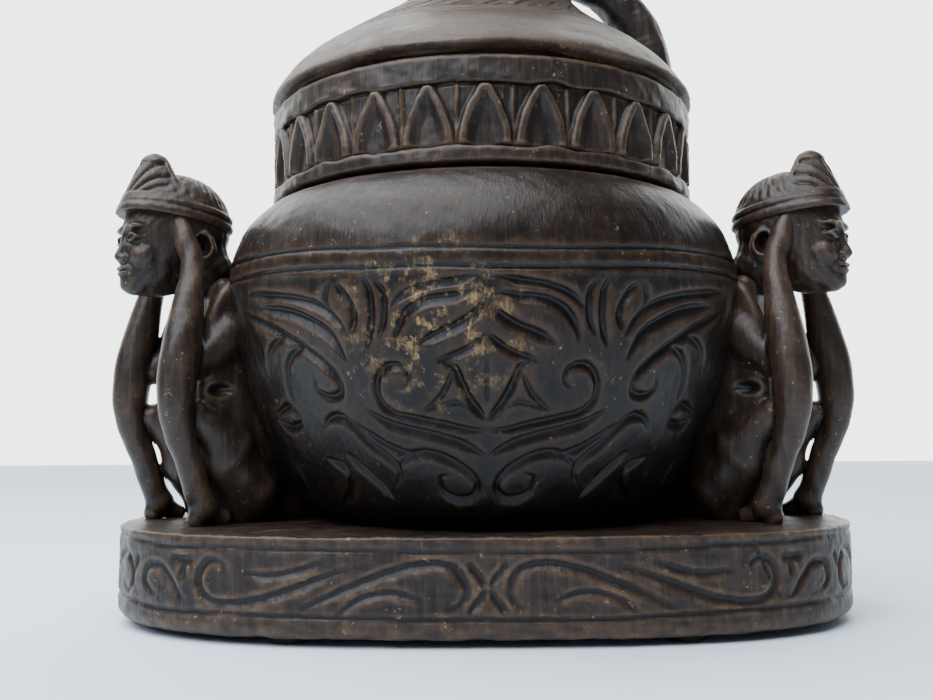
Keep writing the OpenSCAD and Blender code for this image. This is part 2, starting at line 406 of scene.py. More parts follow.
def carved_wood(name, dark, brown, worn, dust, wear, dusty, rough, polish, grain_mm=0.9,
                shade_and_grime_foot_mm=None, rubbed_at=None):
    """Hand-carved dark hardwood: brown streaks of grain on a dark ground, worn ridges,
    black cuts, a film of dust on what faces up and, if asked, a foot darkened by painted shade and grime."""
    material = bpy.data.materials.new(name)
    tree = clear_tree(material)
    place = add_node(tree, "ShaderNodeTexCoord").outputs["Object"]
    along = add_node(tree, "ShaderNodeMapping", Vector=place, Scale=(1, 1, 0.07)).outputs[0]

    def noise(where, size_mm, detail, rough_share):
        made = add_node(tree, "ShaderNodeTexNoise", Vector=where, Scale=1000 / size_mm,
                        Detail=detail, Roughness=rough_share)
        return made.outputs["Fac"]

    def span(value, low, high, to_low=0.0, to_high=1.0):
        made = add_node(tree, "ShaderNodeMapRange", Value=value, **{
            "From Min": low, "From Max": high, "To Min": to_low, "To Max": to_high})
        return made.outputs[0]

    def maths(operation, a, b):
        made = add_node(tree, "ShaderNodeMath", {"operation": operation, "use_clamp": True}, in_0=a, in_1=b)
        return made.outputs[0]

    def blend(share, a, b):
        made = add_node(tree, "ShaderNodeMix", {"data_type": "RGBA"}, in_0=share, in_6=a, in_7=b)
        return made.outputs[2]

    grain = noise(along, grain_mm * 2.6, 5.0, 0.65)
    pores = noise(along, grain_mm, 2.0, 0.5)
    cloud = noise(place, 38.0, 4.0, 0.62)
    grime = noise(place, 7.0, 5.0, 0.7)
    speck = noise(place, 1.7, 2.0, 0.5)
    ridge = add_node(tree, "ShaderNodeAttribute", {"attribute_name": "ridge"}).outputs["Fac"]
    cut = add_node(tree, "ShaderNodeAttribute", {"attribute_name": "cut"}).outputs["Fac"]

    colour = blend(span(cloud, 0.36, 0.66), linear(dark), linear(brown))
    colour = blend(maths("MULTIPLY", span(grain, 0.48, 0.74), 0.22), colour, linear(worn))
    colour = blend(maths("MULTIPLY", span(pores, 0.56, 0.70), 0.45), colour, linear(dark))
    rubbed = maths("MULTIPLY", span(ridge, 0.05, 0.5), span(grime, 0.34, 0.62, 0.15, wear))
    patch = maths("MULTIPLY", span(grime, 0.53, 0.66), maths("MULTIPLY", span(cloud, 0.5, 0.64), 0.55 * wear))
    colour = blend(maths("MAXIMUM", rubbed, patch), colour, linear(worn))
    flecks = maths("MULTIPLY", span(speck, 0.655, 0.70), maths("MULTIPLY", span(grime, 0.50, 0.62), FLECKS))
    colour = blend(flecks, colour, linear("#b39b7c"))
    hollow = maths("MAXIMUM", span(ridge, -0.06, -0.5), span(cut, 0.5, 1.7))
    colour = blend(maths("MULTIPLY", hollow, HOLLOWS), colour, linear("#100d0c"))
    if rubbed_at:  # handling has worn one place down to pale wood
        away = add_node(tree, "ShaderNodeVectorMath", {"operation": "DISTANCE"}, in_0=place,
                        in_1=[v * MM for v in rubbed_at]).outputs["Value"]
        broken = maths("MULTIPLY", span(grime, 0.53, 0.62), span(pores, 0.42, 0.58, 0.3, 1.0))
        pale = maths("MULTIPLY", span(away, 38 * MM, 8 * MM), broken)
        colour = blend(maths("MULTIPLY", pale, 0.8), colour, linear("#9c8055"))
    if shade_and_grime_foot_mm:  # painted shade under the overhanging belly, together with grime, darkens the foot
        height = add_node(tree, "ShaderNodeSeparateXYZ", Vector=place).outputs[2]
        colour = blend(span(height, shade_and_grime_foot_mm * MM, 0.4 * shade_and_grime_foot_mm * MM, 0.0, 0.85), colour, linear("#0b0a08"))
    normal = add_node(tree, "ShaderNodeNewGeometry").outputs["Normal"]
    facing = add_node(tree, "ShaderNodeSeparateXYZ", Vector=normal).outputs[2]
    film = maths("MULTIPLY", span(facing, -0.15, 0.75), span(grime, 0.3, 0.65, 0.45, 1.0))
    colour = blend(maths("MULTIPLY", film, dusty), colour, linear(dust))

    shine = maths("ADD", span(grime, 0.3, 0.7, rough - 0.08, rough + 0.1), maths("MULTIPLY", film, 0.22 * dusty))
    relief = None
    for height, strength, distance_mm in ((grain, 0.75, 0.28), (pores, 0.7, 0.18), (grime, 0.3, 0.25)):
        bump = add_node(tree, "ShaderNodeBump", Strength=strength, Distance=distance_mm * MM, Height=height)
        if relief is not None:
            tree.links.new(relief, bump.inputs["Normal"])
        relief = bump.outputs[0]
    shader = add_node(tree, "ShaderNodeBsdfPrincipled", **{
        "Base Color": colour, "Roughness": shine, "Normal": relief, "IOR": 1.5, "Specular IOR Level": polish})
    add_node(tree, "ShaderNodeOutputMaterial", Surface=shader.outputs[0])
    return material


# The deep brown wood of the bowl, nearly black where it is least handled, with painted shade and grime darkening
# its foot.
dark_wood = carved_wood("dark_hardwood_rubbed", "#0a0807", "#17100d", "#4f3a28", "#3c3630",
                        wear=0.45, dusty=0.06, rough=0.36, polish=0.22, shade_and_grime_foot_mm=105, rubbed_at=(-18, -104, 110))
# The figures' bodies: as dark, and browner along the limbs.
figure_wood = carved_wood("figure_hardwood_rubbed", "#15100d", "#2b2019", "#6b523b", "#4f473f",
                          wear=0.55, dusty=0.10, rough=0.38, polish=0.30)
# The plinth, the collar and the heads: the same wood, handled more.
worn_wood = carved_wood("worn_hardwood_ridges", "#120d0b", "#261c16", "#66503a", "#4b443c",
                        wear=0.60, dusty=0.12, rough=0.40, polish=0.28)
# The lid, greyer and drier, with a film of dust.
dusty_wood = carved_wood("dusty_hardwood_lid", "#1d1511", "#372a20", "#6e563e", "#5c544a",
                         wear=0.45, dusty=0.22, rough=0.44, polish=0.28, grain_mm=0.7)
print("materials:", [m.name for m in (dark_wood, figure_wood, worn_wood, dusty_wood)])


# %% [markdown]
# ## The pads
#
# Four small pads of dark rubber keep the plinth off the table. The CAD pieces
# have the right shape, so they only get a finish: black-brown and matt, with
# fine pits that a noise texture gives in colour and in bump.

# %% Material: hard rubber pads
PIT_MM = 0.8


def pad_rubber():
    """Small dark pads of hard rubber: black-brown, matt, with fine pitting."""
    material = bpy.data.materials.new("hard_rubber_pad")
    tree = clear_tree(material)
    place = add_node(tree, "ShaderNodeTexCoord").outputs["Object"]
    pits = add_node(tree, "ShaderNodeTexNoise", Vector=place, Scale=1000 / PIT_MM, Detail=3.0).outputs["Fac"]
    mixed = add_node(tree, "ShaderNodeMix", {"data_type": "RGBA"}, in_0=pits,
                     in_6=linear("#151110"), in_7=linear("#2b2421"))
    bump = add_node(tree, "ShaderNodeBump", Strength=0.4, Distance=0.1 * MM, Height=pits)
    shader = add_node(tree, "ShaderNodeBsdfPrincipled", **{
        "Base Color": mixed.outputs[2], "Roughness": 0.75, "Normal": bump.outputs[0]})
    add_node(tree, "ShaderNodeOutputMaterial", Surface=shader.outputs[0])
    return material


rubber = pad_rubber()
pads = [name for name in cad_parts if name.startswith("pad_")]
for name in pads:
    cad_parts[name].data.materials.clear()
    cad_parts[name].data.materials.append(rubber)
print("pads:", pads)

# %% [markdown]
# ## Ridges, hollows and finishing a piece
#
# Hands polish what stands out, and what lies low is coloured darker. So each point
# is compared with the average of the points round it, and the difference is
# stored on the mesh for the wood to read.

# %% Ridges and hollows
RIDGE_GAIN = 3.2  # how strongly a ridge counts, per mm that it stands out
RIDGE_ROUNDS = 2  # rounds of smoothing


def mark_ridges(obj, reach_mm):
    """Stores how far each point stands out of its neighbours: the ridges that
    hands wear bright are positive, and the hollows, which the wood colours darker, negative."""
    mesh = obj.data
    n = len(mesh.vertices)
    co = np.empty(n * 3)
    mesh.vertices.foreach_get("co", co)
    co = co.reshape(-1, 3) / MM
    normal = np.empty(n * 3, np.float32)
    mesh.vertices.foreach_get("normal", normal)
    normal = normal.reshape(-1, 3)
    edges = np.empty(len(mesh.edges) * 2, np.int32)
    mesh.edges.foreach_get("vertices", edges)
    a, b = edges.reshape(-1, 2).T
    count = np.bincount(a, minlength=n) + np.bincount(b, minlength=n)

    def around(values):
        total = np.zeros(values.shape)
        for axis in range(values.shape[1]):
            total[:, axis] = np.bincount(a, values[b, axis], n) + np.bincount(b, values[a, axis], n)
        return total / np.maximum(count, 1)[:, None]

    middle = co
    for _ in range(max(1, int(reach_mm))):
        middle = around(middle)
    stand = ((co - middle) * normal).sum(1)[:, None]
    for _ in range(RIDGE_ROUNDS):
        stand = 0.5 * stand + 0.5 * around(stand)
    store(obj, "ridge", np.clip(stand[:, 0] * RIDGE_GAIN, -1, 1))


def thin_out(obj, most):
    """Merges triangles where the surface is flat, until at most that many are left."""
    count = triangles(obj)
    if count <= most:
        return
    modifier = obj.modifiers.new("thin", "DECIMATE")
    modifier.ratio = most / count
    evaluated = obj.evaluated_get(bpy.context.evaluated_depsgraph_get())
    mesh = bpy.data.meshes.new_from_object(evaluated)
    obj.modifiers.clear()
    obj.data = mesh
    mesh.polygons.foreach_set("use_smooth", np.ones(len(mesh.polygons), bool))


def finish_piece(obj, body, material, slot, *nodes, reach_mm=2):
    """Gives a piece its finish and its body, and lets it stand for its CAD nodes."""
    mark_ridges(obj, reach_mm)
    obj.data.materials.clear()
    obj.data.materials.append(material)
    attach(obj, body)
    if nodes:
        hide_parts(*nodes)
    print(f"{obj.name}: {triangles(obj)} triangles")
    return obj


# %% [markdown]
# ## The plinth
#
# An oblong plank with bulging sides. Two gouged lines run round it, and between
# them lies a frieze of long scrolls that mirror each other about a cross in the
# middle of the front. The back is carved like the front.

# %% Plinth: outline
PLINTH_POWER = 2.7


def plinth_ring(inset, n=900):
    """Points round the plinth, evenly spaced, inset from its edge, from the
    middle of the front toward +X."""
    angle = np.linspace(0, 2 * math.pi, 7200, endpoint=False)
    x = np.sign(np.sin(angle)) * np.abs(np.sin(angle)) ** (2 / PLINTH_POWER) * (plinth_high[0] - inset)
    y = -np.sign(np.cos(angle)) * np.abs(np.cos(angle)) ** (2 / PLINTH_POWER) * (plinth_high[1] - inset)
    closed = np.stack([np.append(x, x[0]), np.append(y, y[0])], 1)
    length = np.append(0, np.cumsum(np.linalg.norm(np.diff(closed, axis=0), axis=1)))
    at = np.linspace(0, length[-1], n, endpoint=False)
    return np.stack([np.interp(at, length, closed[:, 0]), np.interp(at, length, closed[:, 1])], 1), length[-1]


def plinth_across(n=900):
    """How far each point is round the plinth from the middle of the front or the
    back, in mm, positive to the right as seen from there."""
    _, length = plinth_ring(0, n)
    at = np.arange(n) * length / n
    front = np.where(at > length / 2, at - length, at)
    return np.where(np.abs(front) <= length / 4, front, front - np.sign(front) * length / 2)


# %% Plinth: frieze
PLINTH_CUTS = mirrored([
    # the long scroll that rises to a hook beside the end
    ([(96, 24), (93.5, 27), (97, 30), (102, 29), (105, 24), (103, 18), (97, 15), (87, 15.5), (76, 18),
      (62, 23), (45, 29)], 3.2, 1.5),
    # the long scroll that hooks down beside the middle
    ([(67, 12.5), (57, 17.5), (44, 23), (30, 28), (19, 29.5), (11, 27.5), (7.5, 22), (8.5, 17),
      (12, 14.5), (15, 17)], 3.2, 1.5),
    # a leaf above the first and one under the second
    ([(88, 26), (78, 25), (68, 26.5), (56, 30.5)], 2.6, 1.2),
    ([(53, 11.5), (44, 17.5), (33, 19.5), (22, 16.5)], 2.6, 1.2),
    # the arms of the cross
    ([(0.3, 21.5), (3, 25), (7, 30)], 2.6, 1.4),
    ([(0.3, 21), (3, 17), (7, 12.5)], 2.6, 1.4),
    # the small hook and the notch beside the end, and the next scroll round it
    ([(125, 16.5), (130, 18), (132.5, 22), (130, 26.5), (124, 27), (119, 23), (115, 18.5), (110, 14)],
     2.8, 1.3),
    ([(118, 30), (112, 29.5), (107, 30.5)], 3.4, 1.5),
    ([(112, 31), (112, 27), (112.5, 23)], 3.0, 1.4),
    ([(136, 30), (138, 27), (140, 23)], 2.2, 1.2),
    ([(149, 17), (144.5, 16), (141.5, 20), (142, 26), (147, 30), (153, 29), (160, 24), (170, 17)], 2.8, 1.3),
])
PLINTH_LINES = ((33.6, 1.5, 1.0), (10.6, 1.9, 1.2))  # height, width and depth
PLINTH_CRACK = ([(93, 39), (96, 32), (101, 22), (107, 12)], 0.9, 0.9)  # points, width and depth
FOOT_EDGE, TOP_EDGE = 5.0, 1.2  # radii of its lower and upper edges


# %% Plinth: mesh
def make_plinth():
    edge, top, bottom = FOOT_EDGE, deck_z, plinth_low[2]
    rows = [(edge + 40 * k, bottom) for k in (0.9, 0.4, 0.1)]
    rows += [(edge * (1 - math.sin(a)), bottom + edge * (1 - math.cos(a))) for a in np.linspace(0, 1.5, 8)]
    rows += [(0.0, z) for z in np.arange(bottom + edge + 0.8, top - 1.6, 0.85)]
    rows += [(TOP_EDGE * (1 - math.cos(a)), top - TOP_EDGE + TOP_EDGE * math.sin(a))
             for a in np.linspace(0.1, 1.5, 4)]
    rows += [(TOP_EDGE + k, top) for k in (0.8, 2, 3.5, 5.5, 8, 11, 15, 20, 26, 34, 44, 56)]
    grid = []
    for inset, z in rows:
        ring, _ = plinth_ring(inset)
        grid.append(np.column_stack([ring, np.full(len(ring), z)]))
    grid = np.array(grid)
    x = np.tile(plinth_across(), (len(rows), 1))
    z = grid[..., 2]
    depth = gouge(x, z, PLINTH_CUTS)
    side = (z > bottom + edge) & (z < top - 1.5)
    wander = 0.5 * smooth_noise(grid.reshape(-1, 3) * [1, 1, 0], 60, 3).reshape(z.shape)
    for height, width, deep in PLINTH_LINES:
        lift = 0.9 * (x / 110) ** 2
        depth = np.maximum(depth, deep * np.clip(1 - np.abs(z - height - lift - wander) / (width / 2), 0, 1))
    depth = np.where(side, depth, 0)
    # an old drying crack near the right end of the front
    crack = gouge(grid[..., 0], z, [PLINTH_CRACK])
    depth = np.maximum(depth, np.where(grid[..., 1] < 0, crack, 0) * side)
    flat = grid.reshape(-1, 3)
    hand = 0.16 * smooth_noise(flat, 16, 5).reshape(z.shape) + 0.09 * smooth_noise(flat, 5, 6).reshape(z.shape)
    on_top = (z > top - 0.1) | (z < bottom + 0.1)
    push = -(depth + 0.25 + hand * np.where(on_top, 0.9, 1.0))
    push = np.where(z < bottom + 0.1, np.minimum(push, 0), push)
    grid = grid + normals(grid) * push[..., None]
    piece = loft("plinth_carved", grid, depth)
    return finish_piece(piece, "jar", worn_wood, "worn_wood", "plinth")


plinth = make_plinth()

# %% [markdown]
# ## The bowl
#
# A round bulb turned or shaved smooth, then carved. Two lines run round the
# shoulder with a plain band between them. Under them the front has a spearhead
# leaf below a stem of curved leaves, with spirals, three-petalled buds and long
# leaves that sweep to the figures. The same design is cut on the back.

# %% Bowl: profile
BOWL_SHARES = [
    (0.70, 0.055), (0.79, 0.15), (0.875, 0.29), (0.94, 0.43), (0.98, 0.57),
    (0.998, 0.69), (1, 0.75), (0.99, 0.81), (0.955, 0.885), (0.90, 0.945),
]
FOOT_R = 64.0
NECK_R = collar_r - 5
WALL = 13.0
MOUTH_R = 78.0
FLOOR_Z = 14.0


def bowl_outer():
    points = [(FOOT_R, 0)] + [(r * bowl_r, h * bowl_h) for r, h in BOWL_SHARES]
    points += [(collar_r + 1.5, bowl_h - 2.5)]
    return np.array(points, float)


def bowl_radius(z):
    """Outer radius of the bowl and of the collar at heights above the plinth."""
    profile = bowl_outer()
    return np.where(z > bowl_h - 1, collar_r - 3, np.interp(z, profile[:, 1], profile[:, 0]))


# %% Bowl: cuts, as seen on one side of the middle line
BOWL_CUTS = mirrored([
    # spearhead leaf: upper edge, blade and the wings under its barbs
    ([(0, 107.5), (5, 103.5), (11, 100.5), (19, 98)], 2.8, 1.9),
    ([(17, 98.5), (12, 96), (9.5, 91), (6, 84.5), (0, 78)], 3.6, 2.4),
    ([(0, 98.5), (0, 92), (0, 84.5)], 2.2, 1.5),
    ([(12.5, 96.5), (14.5, 91), (18.5, 85.5), (25, 81)], 2.2, 1.4),
    ([(25, 81), (17, 83.5), (10, 84), (5, 80.5)], 1.6, 0.8),
    # the stem's curved leaves
    ([(1, 119), (4, 114.5), (10, 110.5), (18, 107.5), (25, 104)], 3.6, 2.2),
    ([(3, 126.5), (12, 125), (22, 123.5), (30, 120.5), (34.5, 116)], 3.0, 2.0),
    ([(3.5, 121), (12, 120), (21, 119), (28, 115.5), (32, 110), (33, 104.5)], 3.6, 2.2),
    # the inner spiral, which comes from the lower point
    ([(33, 89), (30, 90.5), (29, 94), (33, 97), (38.5, 96.5), (42.5, 92), (42.5, 86), (38, 81), (30, 79),
      (19, 77), (9, 75.2), (0, 74.5)], 3.2, 2.2),
    ([(49, 82), (40, 77.5), (30, 75), (20, 73), (9, 69.8), (0, 65.5)], 3.4, 2.0),
    # a bud of three petals
    ([(58.5, 127), (60.5, 121), (58, 115), (53, 110.5)], 2.8, 1.9),
    ([(55.5, 126), (51.5, 121), (49, 116), (50, 109)], 3.4, 2.2),
    ([(44, 127.5), (42, 122), (42, 113), (44.5, 103)], 3.2, 2.2),
    ([(39.5, 126.5), (36.5, 121), (37, 113), (39.5, 107)], 2.8, 1.9),
    # long leaves that sweep out to the figures
    ([(108, 127), (92, 125), (76, 122.5), (64, 119), (56, 113.5), (51.5, 107)], 3.4, 2.0),
    ([(98, 121), (82, 118.5), (70, 114.5), (60, 108.5), (53.5, 99)], 4.2, 2.4),
    ([(112, 120), (94, 114), (80, 108), (68, 101), (60, 94), (60, 88.5), (66, 87), (71.5, 90), (70, 94.5)],
     3.4, 2.2),
    ([(82, 109), (91, 107.5), (98, 103), (100, 95)], 3.0, 1.8),
    ([(71, 103), (78, 104), (85, 100), (88.5, 93), (88, 85)], 3.0, 1.8),
    # the lower scrolls
    ([(74, 74), (69.5, 79), (62, 79.5), (56, 75), (50, 69.5), (43, 65), (40, 60), (44, 54)], 3.2, 2.0),
    ([(55, 77), (45, 70.5), (33, 66.5), (22, 67)], 3.0, 1.8),
    ([(41, 59), (36, 64.5), (29, 67), (20, 66), (10, 61.5), (4.5, 56), (7, 51.5), (13.5, 50.5), (20, 53),
      (21, 58), (16.5, 59.5)], 3.2, 2.0),
    ([(65, 67), (59, 62), (52, 56), (46, 50)], 3.0, 1.8),
    ([(79, 65), (69, 61), (71, 53.5), (84, 47)], 3.0, 1.8),
    ([(108, 64), (107, 55), (112, 46)], 3.0, 1.6),
    ([(108, 80), (99, 76.5), (89, 78), (93, 84), (106, 81)], 3.0, 1.8),
])
BOWL_LINES = ((136.0, 1.9, 1.3), (129.3, 2.1, 1.5))  # height, width and depth of the shoulder lines
LINE_RISE = 7.0  # how much higher they run beside the figures


def bowl_angles():
    """Column angles from the front, close together where the carving shows."""
    angle = np.linspace(-math.pi, math.pi, 20001)
    ahead = np.abs(angle)
    spacing = np.where(ahead < 1.12, 0.72, np.where(ahead > 2.05, 1.05, 1.7))
    total = np.append(0, np.cumsum(np.diff(angle) * bowl_r / spacing[:-1]))
    columns = int(total[-1])
    return np.interp(np.linspace(0, total[-1], columns, endpoint=False), total, angle)


def across(angle, radius):
    """Distance along the surface from the middle of the front, or of the back."""
    behind = -np.sign(angle) * (math.pi - np.abs(angle))
    return np.where(np.abs(angle) <= math.pi / 2, angle, behind) * radius


# %% Bowl: mesh
MOST_BOWL = 190000  # triangles


def make_bowl():
    outer = curve(bowl_outer(), 0.75)
    cavity = [(NECK_R + 1, bowl_h - 1.2), (NECK_R, bowl_h), (MOUTH_R, bowl_h), (MOUTH_R, bowl_h - 8)]
    inner = [(r * bowl_r - WALL, h * bowl_h) for r, h in BOWL_SHARES[::-1]
             if FLOOR_Z + 4 < h * bowl_h < 0.9 * bowl_h]
    inner = straight(cavity[-1:] + inner + [(FOOT_R - 6, FLOOR_Z), (20, FLOOR_Z), (2, FLOOR_Z)], 9.0)
    under = [(2, 0), (30, 0), (50, 0)]
    profile = np.vstack([under, outer, straight([outer[-1]] + cavity[:3], 3.0)[1:], inner])
    angle = bowl_angles()
    radius = profile[:, 0][:, None]
    height = np.tile(profile[:, 1][:, None] + deck_z, (1, len(angle)))
    grid = np.stack([radius * np.sin(angle), -radius * np.cos(angle), height], -1)
    x = across(angle, bowl_r)[None, :] + 0 * height
    first, last = len(under), len(under) + len(outer)
    depth = np.zeros(height.shape)
    depth[first:last] = gouge(x[first:last], height[first:last], BOWL_CUTS)
    wander = 0.35 * smooth_noise(grid.reshape(-1, 3), 70, 11).reshape(height.shape)
    rise = LINE_RISE * (1 - np.cos(np.abs(x) / (bowl_r * math.pi / 2) * math.pi)) / 2
    for z, width, deep in BOWL_LINES:
        line = deep * np.clip(1 - np.abs(height - z - rise - wander) / (width / 2), 0, 1)
        depth[first:last] = np.maximum(depth, line)[first:last]
    # the ground of the carved part lies a little lower than the plain band
    below = np.clip((BOWL_LINES[1][0] + rise - height) / 3.0, 0, 1)
    ground = below * np.clip((height - 48) / 5, 0, 1) * 0.35
    flat = grid.reshape(-1, 3)
    hand = (0.16 * smooth_noise(flat, 34, 12) + 0.06 * smooth_noise(flat, 8, 13)).reshape(height.shape)
    push = np.zeros(height.shape)
    push[first:last] = -(depth + ground + 0.35 + hand)[first:last]
    push[first] = 0
    grid = grid + normals(grid) * push[..., None]
    piece = loft("bowl_carved", grid, depth)
    thin_out(piece, MOST_BOWL)
    return finish_piece(piece, "jar", dark_wood, "dark_wood", "bowl", reach_mm=3)


bowl = make_bowl()

# %% [markdown]
# ## The collar
#
# A ring with a plain lip below and a plain band above, and between them a
# sunk ground for a frieze. It is made like the bowl, from rings of points, and
# its edges wander a little, as they do when they are cut by eye.

# %% Collar: ring
LIP_H = 6.0
FRIEZE_H = 23.0
FRIEZE_SUNK = 3.0
BAYS = 27
frieze_low = collar_z + LIP_H
frieze_high = frieze_low + FRIEZE_H


def make_collar():
    soft = 1.2
    out, sunk = collar_r - 0.15, collar_r - FRIEZE_SUNK - 0.6
    top = collar_high[2]
    lower = [(MOUTH_R, collar_z), (out - 3, collar_z), (out - 0.4, collar_z + 0.5), (out, collar_z + soft),
             (out, frieze_low - soft), (out - 0.5, frieze_low - 0.3), (sunk, frieze_low),
             (sunk, frieze_high), (out - 0.5, frieze_high + 0.3), (out, frieze_high + soft)]
    band = [(out, frieze_high + 1.3), (out, top - soft)]
    mouth = [(out - 0.5, top - 0.3), (out - 1.6, top), (MOUTH_R, top), (MOUTH_R, collar_z + 1)]
    profile = np.vstack([straight(lower, 1.0), straight(band, 1.0), straight(mouth, 3.0)])
    columns = 560
    angle = np.arange(columns) * 2 * math.pi / columns
    radius, height = profile[:, 0][:, None], profile[:, 1][:, None] + 0 * angle
    grid = np.stack([radius * np.sin(angle), -radius * np.cos(angle), height], -1)
    flat = grid.reshape(-1, 3)
    hand = (0.26 * smooth_noise(flat, 22, 21) + 0.14 * smooth_noise(flat, 6, 22)).reshape(height.shape)
    outside = (radius > collar_r - 2) * (height < top - 0.2)
    grid[..., :2] *= (1 - (0.3 + hand) * outside / radius)[..., None]
    # the edges that frame the frieze were cut by eye
    edge = (np.abs(height - frieze_low) < 1.5) | (np.abs(height - frieze_high) < 1.5)
    grid[..., 2] += edge * 0.5 * smooth_noise(flat * [1, 1, 0], 18, 23).reshape(height.shape)
    rows = len(profile)
    faces = ring_faces(rows, columns)
    last = (rows - 1) * columns
    for c in range(columns):
        n = (c + 1) % columns
        faces.append([last + c, last + n, n, c])
    piece = add_mesh("collar_ring", grid.reshape(-1, 3), faces)
    return finish_piece(piece, "jar", worn_wood, "worn_wood", "collar", reach_mm=1)


collar = make_collar()

# %% [markdown]
# ## The arches
#
# A row of pointed arches fills the frieze: each bay is scooped hollow, with a
# raised rib round it and a small dart between it and the next. What repeats is
# made once, so one bay is carved as a mesh, and Geometry Nodes set it round
# the ring as often as needed and then shift its points by a noise, so that no
# two bays are quite alike.

# %% Arches: one bay
BAY_WIDTH = 2 * math.pi * collar_r / BAYS
ARCH_HALF = 7.1  # half width of the hollow at its foot
ARCH_TOP = 20.6
RIB = 2.0


def arch_height(x, z):
    """How far the bay stands out of the sunk ground, in mm."""
    lean = 2 * ARCH_HALF * z / ARCH_TOP**2
    half = ARCH_HALF * (1 - (z / ARCH_TOP) ** 2)
    off = (np.abs(x) - half) / np.sqrt(1 + lean**2)
    top = 2.9
    hollow = top - 3.1 * np.clip(-off / 4.2, 0, 1) ** 0.7
    groove = top - 2.3 * np.clip((off - RIB) / 1.3, 0, 1)
    dart = 1.9 - 1.1 * np.abs(BAY_WIDTH / 2 - np.abs(x)) - 2.2 * np.clip((12 - z) / 5, 0, 1)
    rib = top - 0.35 * np.abs(off / RIB - 0.4)
    height = np.where(off < 0, hollow, np.where(off < RIB, rib, np.maximum(groove, dart)))
    foot = np.clip(z / 1.1, 0, 1) * np.clip((FRIEZE_H - z) / 0.6, 0, 1)
    return np.maximum(height, 0.25) * foot - 0.3 * (1 - foot)


def bay_object():
    across_n, up_n = 40, 42
    x = np.linspace(-BAY_WIDTH / 2, BAY_WIDTH / 2, across_n)
    z = np.linspace(0, FRIEZE_H, up_n)
    gx, gz = np.meshgrid(x, z)
    ground = collar_r - FRIEZE_SUNK - 0.35
    radius = ground + arch_height(gx, gz)
    angle = gx / collar_r
    front = np.stack([radius * np.sin(angle), -radius * np.cos(angle), gz + frieze_low], -1)
    back_r = ground - 1.6
    back = np.stack([back_r * np.sin(angle), -back_r * np.cos(angle), gz + frieze_low], -1)
    points = np.vstack([front.reshape(-1, 3), back.reshape(-1, 3)])
    at = np.arange(across_n * up_n).reshape(up_n, across_n)
    a, b, c, d = at[:-1, :-1].ravel(), at[:-1, 1:].ravel(), at[1:, 1:].ravel(), at[1:, :-1].ravel()
    faces = np.stack([a, b, c, d], 1).tolist()
    faces += (np.stack([d, c, b, a], 1) + across_n * up_n).tolist()
    rim = np.concatenate([at[0, :-1], at[:-1, -1], at[-1, :0:-1], at[:0:-1, 0]])
    after = np.roll(rim, -1)
    faces += np.stack([after, rim, rim + across_n * up_n, after + across_n * up_n], 1).tolist()
    return add_mesh("arch_frieze", points, faces)


# %% Arches: the row of bays
def socket_in(tree, name, kind, value):
    made = tree.interface.new_socket(name=name, in_out="INPUT", socket_type=kind)
    if value is not None:
        made.default_value = value
    return made.identifier


def frieze_tree():
    tree = bpy.data.node_groups.new("arches_round_a_ring", "GeometryNodeTree")
    ids = {
        "bay": socket_in(tree, "Bay", "NodeSocketGeometry", None),
        "count": socket_in(tree, "Bays", "NodeSocketInt", 12),
        "rough": socket_in(tree, "Unevenness", "NodeSocketFloat", 0.0),
        "size": socket_in(tree, "Size of unevenness", "NodeSocketFloat", 0.01),
        "seed": socket_in(tree, "Seed", "NodeSocketFloat", 1.0),
        "finish": socket_in(tree, "Finish", "NodeSocketMaterial", None),
    }
    tree.interface.new_socket(name="Frieze", in_out="OUTPUT", socket_type="NodeSocketGeometry")
    given = add_node(tree, "NodeGroupInput").outputs

    def maths(operation, a, b):
        return add_node(tree, "ShaderNodeMath", {"operation": operation}, in_0=a, in_1=b).outputs[0]

    # one point for each bay, with the bay turned to its place round the ring
    line = add_node(tree, "GeometryNodeMeshLine", Count=given["Bays"], Offset=(0, 0, 0)).outputs[0]
    index = add_node(tree, "GeometryNodeInputIndex").outputs[0]
    turn = maths("MULTIPLY", index, maths("DIVIDE", 2 * math.pi, given["Bays"]))
    turned = add_node(tree, "ShaderNodeCombineXYZ", Z=turn).outputs[0]
    row = add_node(tree, "GeometryNodeInstanceOnPoints", Points=line, Instance=given["Bay"],
                   Rotation=turned).outputs[0]
    real = add_node(tree, "GeometryNodeRealizeInstances", Geometry=row).outputs[0]
    merged = add_node(tree, "GeometryNodeMergeByDistance", Geometry=real, Distance=0.00002).outputs[0]
    # the unevenness of hand work
    scale = maths("DIVIDE", 1.0, given["Size of unevenness"])
    noise = add_node(tree, "ShaderNodeTexNoise", {"noise_dimensions": "4D"}, W=given["Seed"],
                     Scale=scale, Detail=2.0).outputs["Color"]
    centred = add_node(tree, "ShaderNodeVectorMath", {"operation": "SUBTRACT"}, in_0=noise,
                       in_1=(0.5, 0.5, 0.5)).outputs[0]
    move = add_node(tree, "ShaderNodeVectorMath", {"operation": "SCALE"}, in_0=centred,
                    Scale=given["Unevenness"]).outputs[0]
    moved = add_node(tree, "GeometryNodeSetPosition", Geometry=merged, Offset=move).outputs[0]
    done = add_node(tree, "GeometryNodeSetMaterial", Geometry=moved, Material=given["Finish"]).outputs[0]
    add_node(tree, "NodeGroupOutput", in_0=done)
    return tree, ids


def grow(obj, tree, ids, **values):
    """Runs the tree on the object and keeps the result as a plain mesh."""
    modifier = obj.modifiers.new("made", "NODES")
    modifier.node_group = tree
    for key, value in values.items():
        modifier[ids[key]] = value
    evaluated = obj.evaluated_get(bpy.context.evaluated_depsgraph_get())
    mesh = bpy.data.meshes.new_from_object(evaluated)
    obj.modifiers.clear()
    obj.data = mesh
    mesh.polygons.foreach_set("use_smooth", np.ones(len(mesh.polygons), bool))
    return obj


